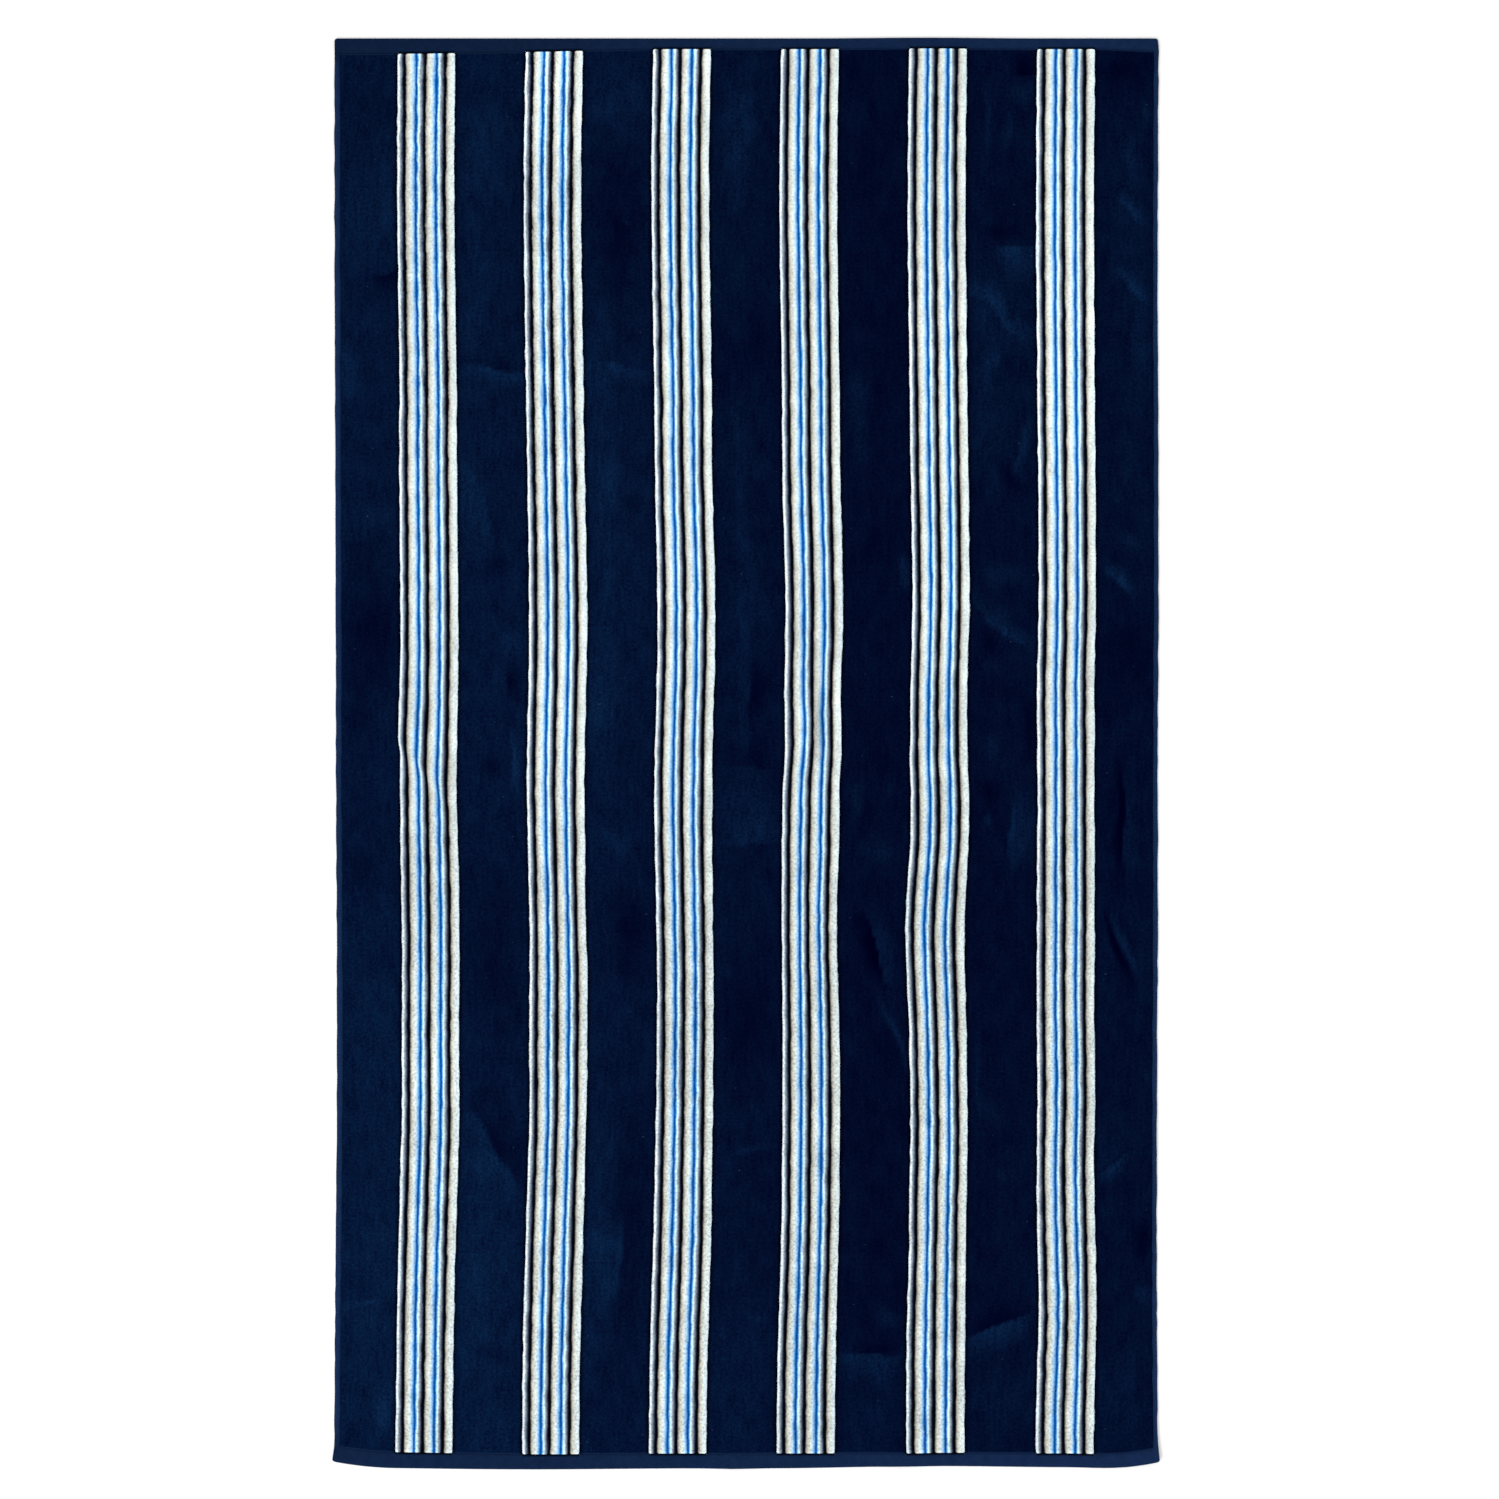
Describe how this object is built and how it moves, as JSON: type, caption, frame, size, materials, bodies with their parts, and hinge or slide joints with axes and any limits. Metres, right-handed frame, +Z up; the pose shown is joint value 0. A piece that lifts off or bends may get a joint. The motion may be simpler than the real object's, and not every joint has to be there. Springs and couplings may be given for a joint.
{
  "type": "beach towel",
  "caption": "Open cotton velour beach towel lying flat, navy with groups of fine pale and blue stripes along its length and turned flat-woven hems.",
  "frame": {"origin": "on the surface under the middle of the towel's box", "axes": "+Y along the towel's length, towards the end that is the top of the picture; +X across it, towards the picture's right; +Z up, out of the pile face"},
  "size_m": [1.021, 1.765, 0.0085],
  "materials": {
    "navy_velour": "matt cut pile of cotton velour with yarn-dyed stripes, flat-woven hems and a looped back"
  },
  "bodies": {
    "root": {"towel": "navy_velour"}
  },
  "joints": []
}
